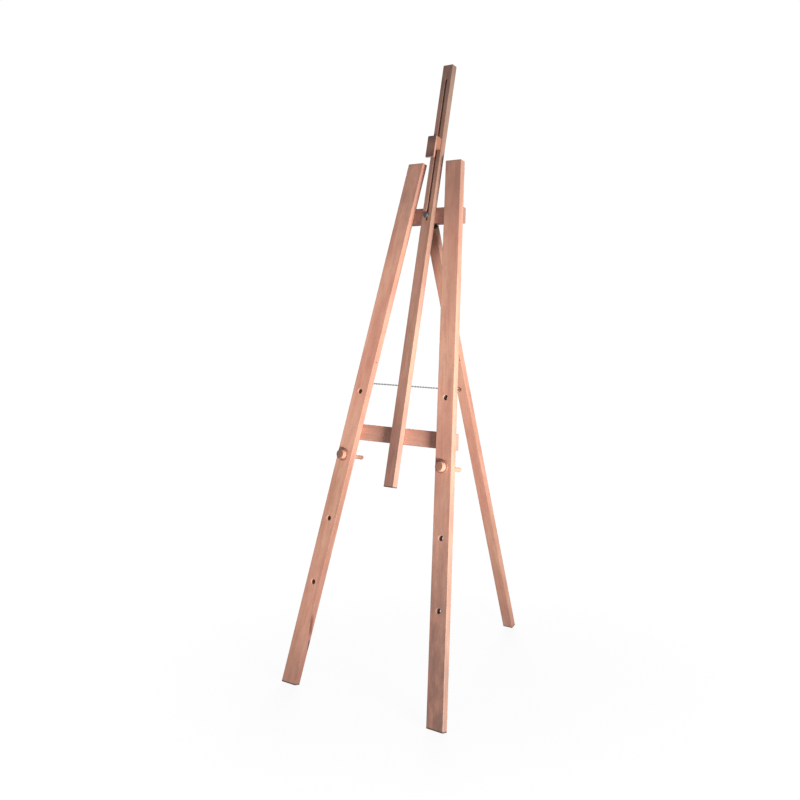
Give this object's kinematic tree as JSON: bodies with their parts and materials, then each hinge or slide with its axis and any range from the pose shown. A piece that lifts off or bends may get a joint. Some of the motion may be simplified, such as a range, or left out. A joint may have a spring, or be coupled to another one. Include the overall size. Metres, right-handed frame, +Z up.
{
  "type": "artist easel",
  "caption": "Folding A-frame studio easel in beech: splayed front legs, slotted sliding mast with canvas holder, adjustable pegs and a hinged rear leg on a chain.",
  "frame": {"origin": "on the floor, at the centre of the easel's footprint", "axes": "+Z up; +X to the easel's right as seen by someone standing in front of it; the canvas side faces -Y and the rear leg is towards +Y"},
  "size_m": [0.5484, 0.7934, 1.7204],
  "materials": {
    "beech": "satin oiled beech",
    "beech_plate": "darker beech",
    "beech_turned": "turned beech, satin",
    "zinc_steel": "zinc-plated steel"
  },
  "bodies": {
    "frame": {"left_leg": "beech", "right_leg": "beech", "upper_crossbar": "beech", "lower_crossbar": "beech", "upper_crossbar_screw_left_1": "zinc_steel", "upper_crossbar_screw_left_2": "zinc_steel", "upper_crossbar_screw_right_1": "zinc_steel", "upper_crossbar_screw_right_2": "zinc_steel", "lower_crossbar_screw_left_1": "zinc_steel", "lower_crossbar_screw_left_2": "zinc_steel", "lower_crossbar_screw_right_1": "zinc_steel", "lower_crossbar_screw_right_2": "zinc_steel", "hinge_crossbar_leaf": "zinc_steel", "hinge_crossbar_screw_1": "zinc_steel", "hinge_crossbar_screw_2": "zinc_steel", "hinge_pin": "zinc_steel", "chain_eye_front": "zinc_steel", "stay_chain": "zinc_steel", "mast_bolt": "zinc_steel", "mast_front_washer": "zinc_steel", "mast_back_washer": "zinc_steel"},
    "mast": {"mast": "beech"},
    "holder": {"holder_block": "beech", "holder_plate": "beech_plate", "holder_bolt": "zinc_steel", "holder_back_washer": "zinc_steel"},
    "mast_wing_nut": {"mast_wing_nut": "zinc_steel"},
    "holder_wing_nut": {"holder_wing_nut": "zinc_steel"},
    "rear_leg": {"rear_leg": "beech", "hinge_leg_leaf": "zinc_steel", "hinge_leg_screw_1": "zinc_steel", "hinge_leg_screw_2": "zinc_steel", "chain_eye_rear": "zinc_steel"},
    "left_peg": {"left_peg_head": "beech_turned", "left_peg_dowel": "beech_turned"},
    "right_peg": {"right_peg_head": "beech_turned", "right_peg_dowel": "beech_turned"}
  },
  "joints": [
    {"name": "rear_leg_fold", "type": "hinge", "parent": "frame", "child": "rear_leg", "pos_m": [0, -0.04318, 1.27201], "axis": [1, 0, 0], "range_deg": [-30.8, 0], "deforming": ["stay_chain"]},
    {"name": "mast_slide", "type": "slide", "parent": "frame", "child": "mast", "axis": [0, 0.2368, 0.9715], "range_m": [-0.125, 0.0095]},
    {"name": "holder_slide", "type": "slide", "parent": "mast", "child": "holder", "axis": [0, 0.2368, 0.9715], "range_m": [-0.025, 0.186]},
    {"name": "mast_wing_nut_turn", "type": "hinge", "parent": "frame", "child": "mast_wing_nut", "pos_m": [0, -0.03512, 1.28965], "axis": [0, 0.9715, -0.2368], "range_deg": [0, 450]},
    {"name": "holder_wing_nut_turn", "type": "hinge", "parent": "holder", "child": "holder_wing_nut", "pos_m": [0, -0.00695, 1.48967], "axis": [0, 0.9715, -0.2368], "range_deg": [0, 450]},
    {"name": "left_peg_pull", "type": "slide", "parent": "frame", "child": "left_peg", "axis": [0, -0.9715, 0.2368], "range_m": [0, 0.1]},
    {"name": "right_peg_pull", "type": "slide", "parent": "frame", "child": "right_peg", "axis": [0, -0.9715, 0.2368], "range_m": [0, 0.1]}
  ]
}
